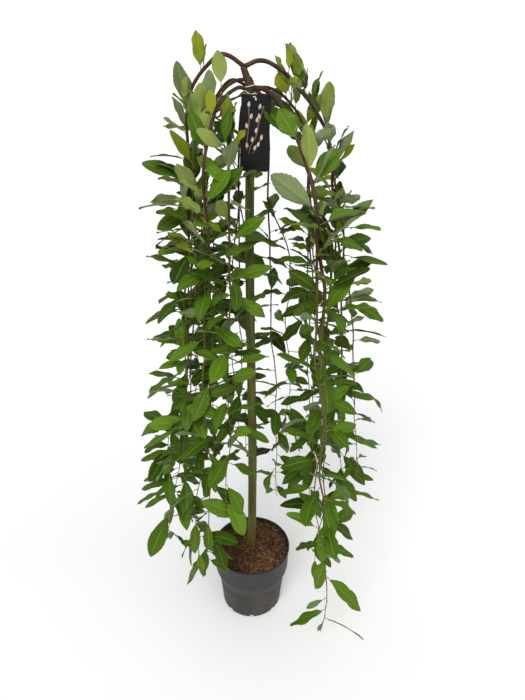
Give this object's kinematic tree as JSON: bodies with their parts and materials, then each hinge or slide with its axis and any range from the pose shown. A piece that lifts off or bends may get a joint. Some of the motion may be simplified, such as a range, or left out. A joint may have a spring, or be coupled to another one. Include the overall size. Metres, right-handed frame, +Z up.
{
  "type": "weeping willow standard in a nursery pot",
  "caption": "Small grafted willow with a straight clear stem, arching boughs that weep to the ground all round it, standing in a round plastic nursery pot.",
  "frame": {"origin": "centre of the pot's flat underside, on the surface that it stands on", "axes": "+Z up along the stem; -Y is the open front of the crown; +X is to the right seen from the front"},
  "size_m": [0.6192, 0.5349, 1.432],
  "materials": {
    "pot_plastic": "satin dark grey, dusty",
    "compost": "rough, fibrous",
    "trunk_bark": "smooth olive bark",
    "limb_bark": "smooth purple-brown bark",
    "leaf": "soft satin green",
    "tag_card": "satin black"
  },
  "bodies": {
    "root": {"pot": "pot_plastic", "compost": "compost", "trunk": "trunk_bark", "leader": "limb_bark", "bough_right_rise": "limb_bark", "bough_left_rise": "limb_bark", "bough_front_right_rise": "limb_bark", "bough_front_right_fall": "limb_bark", "bough_back_right_rise": "limb_bark", "bough_left_front_rise": "limb_bark", "bough_front_left_rise": "limb_bark", "bough_front_left_fall": "limb_bark", "bough_back_left_rise": "limb_bark", "bough_back_left_fall": "limb_bark", "bough_front_rise": "limb_bark", "bough_front_fall": "limb_bark", "bough_back_rise": "limb_bark", "bough_left_back_rise": "limb_bark", "foliage_right": "leaf", "foliage_left": "leaf", "foliage_front_right": "leaf", "foliage_back_right": "leaf", "foliage_left_front": "leaf", "foliage_front_left": "leaf", "foliage_back_left": "leaf", "foliage_front": "leaf", "foliage_back": "leaf", "foliage_left_back": "leaf", "hang_tag": "tag_card"}
  },
  "joints": []
}
